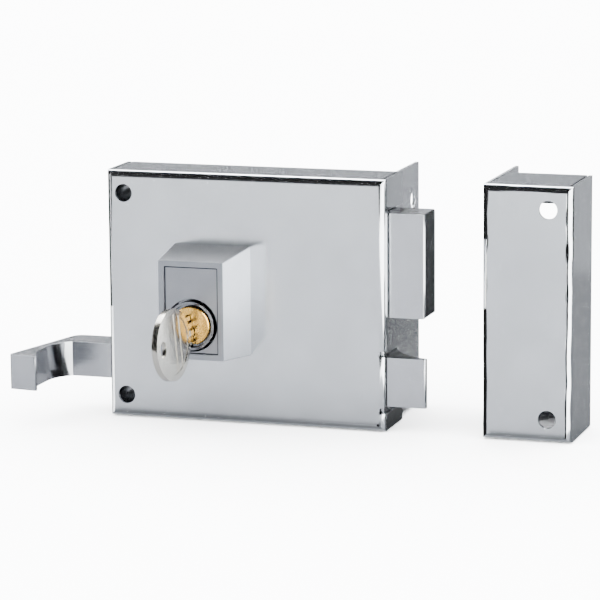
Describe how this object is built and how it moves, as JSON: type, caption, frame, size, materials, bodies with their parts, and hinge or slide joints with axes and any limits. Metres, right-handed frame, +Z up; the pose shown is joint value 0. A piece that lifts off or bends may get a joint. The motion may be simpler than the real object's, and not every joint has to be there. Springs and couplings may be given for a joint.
{
  "type": "rim box lock",
  "caption": "Rim box lock: folded metal case with edge flange, geared deadbolt turned by a key, sprung latch with hooked pull lever, and a separate strike box.",
  "frame": {"origin": "where the cylinder's axis meets the case's back face, in the middle of the outer cylinder bore", "axes": "+X the way the bolts are thrown, +Y out of the back face into the door, +Z up"},
  "size_m": [0.1925, 0.1053, 0.0865],
  "materials": {
    "case_satin_nickel": "satin nickel plate, fine even grain",
    "plate_zinc": "zinc-plated sheet steel",
    "forend_steel": "plain plated steel, half dull",
    "inner_steel": "bright zinc-plated steel",
    "screw_steel": "bright zinc-plated steel",
    "guard_satin_chrome": "satin chrome over cast zinc",
    "cylinder_chrome": "chrome-plated brass",
    "plug_brass": "turned brass",
    "spring_steel": "drawn spring steel wire",
    "key_nickel": "polished nickel plate on brass",
    "gear_steel": "hardened steel, lightly oiled",
    "bolt_satin_nickel": "satin nickel plate",
    "lever_satin_nickel": "satin nickel plate"
  },
  "bodies": {
    "case": {"case_cover": "case_satin_nickel", "back_plate": "plate_zinc", "forend_plate": "forend_steel", "fixing_tubes": "inner_steel", "case_pillars": "inner_steel", "back_screws": "screw_steel", "cylinder_guard": "guard_satin_chrome", "guard_screws": "screw_steel", "cylinder_screws": "screw_steel", "cylinder_body": "cylinder_chrome", "driver_pins": "inner_steel", "pin_springs": "spring_steel", "chamber_caps": "plug_brass", "gear_axle": "inner_steel", "latch_spring": "spring_steel", "spring_stop": "inner_steel", "latch_guide": "inner_steel", "strike_box": "case_satin_nickel", "strike_plate": "forend_steel"},
    "plug": {"plug": "plug_brass", "key_pins": "plug_brass", "plug_clip": "spring_steel", "drive_pinion": "gear_steel"},
    "key": {"key": "key_nickel"},
    "reduction_gear": {"reduction_gear": "gear_steel"},
    "deadbolt": {"deadbolt": "bolt_satin_nickel"},
    "latch": {"latch_bolt": "bolt_satin_nickel", "pull_lever": "lever_satin_nickel", "lever_pins": "inner_steel", "spring_rod": "inner_steel"}
  },
  "joints": [
    {"name": "plug_turn", "type": "hinge", "parent": "case", "child": "plug", "pos_m": [0, 0, 0], "axis": [0, -1, 0], "range_deg": [-365, 355]},
    {"name": "gear_turn", "type": "hinge", "parent": "case", "child": "reduction_gear", "pos_m": [0.01435, 0, 0.00439], "axis": [0, -1, 0], "range_deg": [-178, 183]},
    {"name": "deadbolt_slide", "type": "slide", "parent": "case", "child": "deadbolt", "axis": [1, 0, 0], "range_m": [-0.01274, 0.01239]},
    {"name": "latch_slide", "type": "slide", "parent": "case", "child": "latch", "axis": [1, 0, 0], "range_m": [-0.013, 0], "stiffness_N_per_m": 300, "springref_m": 0.008, "deforming": ["latch_spring"]},
    {"name": "key_withdraw", "type": "slide", "parent": "plug", "child": "key", "axis": [0, -1, 0], "range_m": [0, 0.03]}
  ],
  "couplings": [
    {"joint": "plug_turn", "follows": "deadbolt_slide", "rad_per_m": 500},
    {"joint": "gear_turn", "follows": "deadbolt_slide", "rad_per_m": -250}
  ]
}
